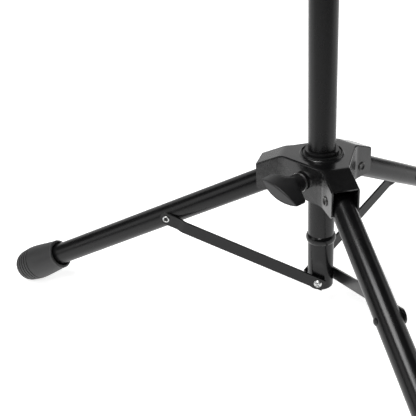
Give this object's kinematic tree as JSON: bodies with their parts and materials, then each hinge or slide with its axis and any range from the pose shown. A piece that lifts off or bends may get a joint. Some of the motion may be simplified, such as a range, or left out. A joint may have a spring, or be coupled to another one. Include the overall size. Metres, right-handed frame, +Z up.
{
  "type": "music stand",
  "caption": "Free-standing music stand: folding braced tripod, sliding hub with wing knob, telescopic shaft and tilting sheet-metal desk with a ledge.",
  "frame": {"origin": "on the floor under the axis of the shaft, with the feet resting on z = 0", "axes": "+Z up the shaft; the desk and leg b face -Y; leg a points to -X and +Y, leg c to +X and +Y"},
  "size_m": [0.5838, 0.5099, 1.1143],
  "materials": {
    "tube_coat": "satin black powder coat",
    "hub_coat": "satin black enamel on pressed steel",
    "brace_coat": "satin black enamel on steel strip",
    "desk_coat": "fine textured black powder coat",
    "knob_plastic": "fine spark-eroded grain",
    "bush_plastic": "smooth black nylon",
    "collar_plastic": "fine grain",
    "foot_rubber": "matt charcoal rubber",
    "zinc_steel": "bright zinc plate",
    "dark_rivet": "blackened steel",
    "brass": "turned",
    "pad_plastic": "natural nylon",
    "friction_fibre": "pressed fibre"
  },
  "bodies": {
    "shaft": {"lower_tube": "tube_coat", "brace_anchor": "bush_plastic", "brace_spacers": "bush_plastic", "brace_screws": "zinc_steel", "lock_collar": "collar_plastic", "collar_insert": "brass", "collar_pad": "pad_plastic"},
    "hub": {"hub_spider": "hub_coat", "hub_bush": "bush_plastic", "hub_nut": "zinc_steel", "hub_pad": "pad_plastic", "leg_hinge_rivets": "dark_rivet"},
    "hub_wing_knob": {"hub_knob": "knob_plastic", "hub_knob_washer": "zinc_steel", "hub_knob_screw": "zinc_steel"},
    "bush": {"guide_bush": "bush_plastic"},
    "mast": {"upper_tube": "tube_coat", "tube_guide": "bush_plastic", "tilt_head": "collar_plastic"},
    "height_wing_knob": {"height_knob": "knob_plastic", "height_knob_washer": "zinc_steel", "height_knob_screw": "zinc_steel"},
    "desk": {"desk_plate": "desk_coat", "paper_shelf": "desk_coat", "shelf_rivets": "dark_rivet", "desk_bracket": "brace_coat", "bracket_rivets": "dark_rivet", "tilt_bolt": "zinc_steel", "friction_washers": "friction_fibre"},
    "tilt_wing_knob": {"tilt_knob": "knob_plastic", "tilt_nut": "brass", "tilt_knob_washer": "zinc_steel"},
    "tripod_leg_a": {"leg_a": "tube_coat", "foot_a": "foot_rubber", "brace_rivet_a": "dark_rivet"},
    "tripod_brace_a": {"brace_a": "brace_coat", "brace_eyelet_a": "zinc_steel"},
    "tripod_leg_b": {"leg_b": "tube_coat", "foot_b": "foot_rubber", "brace_rivet_b": "dark_rivet"},
    "tripod_brace_b": {"brace_b": "brace_coat", "brace_eyelet_b": "zinc_steel"},
    "tripod_leg_c": {"leg_c": "tube_coat", "foot_c": "foot_rubber", "brace_rivet_c": "dark_rivet"},
    "tripod_brace_c": {"brace_c": "brace_coat", "brace_eyelet_c": "zinc_steel"}
  },
  "joints": [
    {"name": "hub_slide", "type": "slide", "parent": "shaft", "child": "hub", "axis": [0, 0, 1], "range_m": [0, 0.167]},
    {"name": "hub_knob_turn", "type": "hinge", "parent": "hub", "child": "hub_wing_knob", "pos_m": [0, 0, 0.15823], "axis": [-0.866, -0.5, 0], "range_deg": [0, 360]},
    {"name": "desk_swivel", "type": "hinge", "parent": "shaft", "child": "bush", "pos_m": [0, 0, 0.593], "axis": [0, 0, 1], "continuous": true},
    {"name": "height_slide", "type": "slide", "parent": "bush", "child": "mast", "axis": [0, 0, 1], "range_m": [-0.215, 0.2]},
    {"name": "height_knob_turn", "type": "hinge", "parent": "shaft", "child": "height_wing_knob", "pos_m": [0, 0, 0.6105], "axis": [0, 1, 0], "range_deg": [0, 360]},
    {"name": "desk_tilt", "type": "hinge", "parent": "mast", "child": "desk", "pos_m": [0, 0, 0.915], "axis": [-1, 0, 0], "range_deg": [-15, 65]},
    {"name": "tilt_knob_turn", "type": "hinge", "parent": "desk", "child": "tilt_wing_knob", "pos_m": [0, 0, 0.915], "axis": [1, 0, 0], "range_deg": [0, 360]},
    {"name": "leg_a_fold", "type": "hinge", "parent": "hub", "child": "tripod_leg_a", "pos_m": [-0.03837, 0.02215, 0.15103], "axis": [-0.5, -0.866, 0], "range_deg": [0, 64.1]},
    {"name": "brace_a_swing", "type": "hinge", "parent": "shaft", "child": "tripod_brace_a", "pos_m": [0, 0, 0.0427], "axis": [0.5, 0.866, 0], "range_deg": [0, 54.2]},
    {"name": "leg_b_fold", "type": "hinge", "parent": "hub", "child": "tripod_leg_b", "pos_m": [0, -0.0443, 0.15103], "axis": [1, 0, 0], "range_deg": [0, 64.1]},
    {"name": "brace_b_swing", "type": "hinge", "parent": "shaft", "child": "tripod_brace_b", "pos_m": [0, 0, 0.0427], "axis": [-1, 0, 0], "range_deg": [0, 54.2]},
    {"name": "leg_c_fold", "type": "hinge", "parent": "hub", "child": "tripod_leg_c", "pos_m": [0.03837, 0.02215, 0.15103], "axis": [-0.5, 0.866, 0], "range_deg": [0, 64.1]},
    {"name": "brace_c_swing", "type": "hinge", "parent": "shaft", "child": "tripod_brace_c", "pos_m": [0, 0, 0.0427], "axis": [0.5, -0.866, 0], "range_deg": [0, 54.2]}
  ],
  "couplings": [
    {"joint": "leg_a_fold", "follows": "hub_slide", "rad_per_m": 6.6782},
    {"joint": "brace_a_swing", "follows": "hub_slide", "rad_per_m": 5.6425},
    {"joint": "leg_b_fold", "follows": "hub_slide", "rad_per_m": 6.6782},
    {"joint": "brace_b_swing", "follows": "hub_slide", "rad_per_m": 5.6425},
    {"joint": "leg_c_fold", "follows": "hub_slide", "rad_per_m": 6.6782},
    {"joint": "brace_c_swing", "follows": "hub_slide", "rad_per_m": 5.6425}
  ]
}
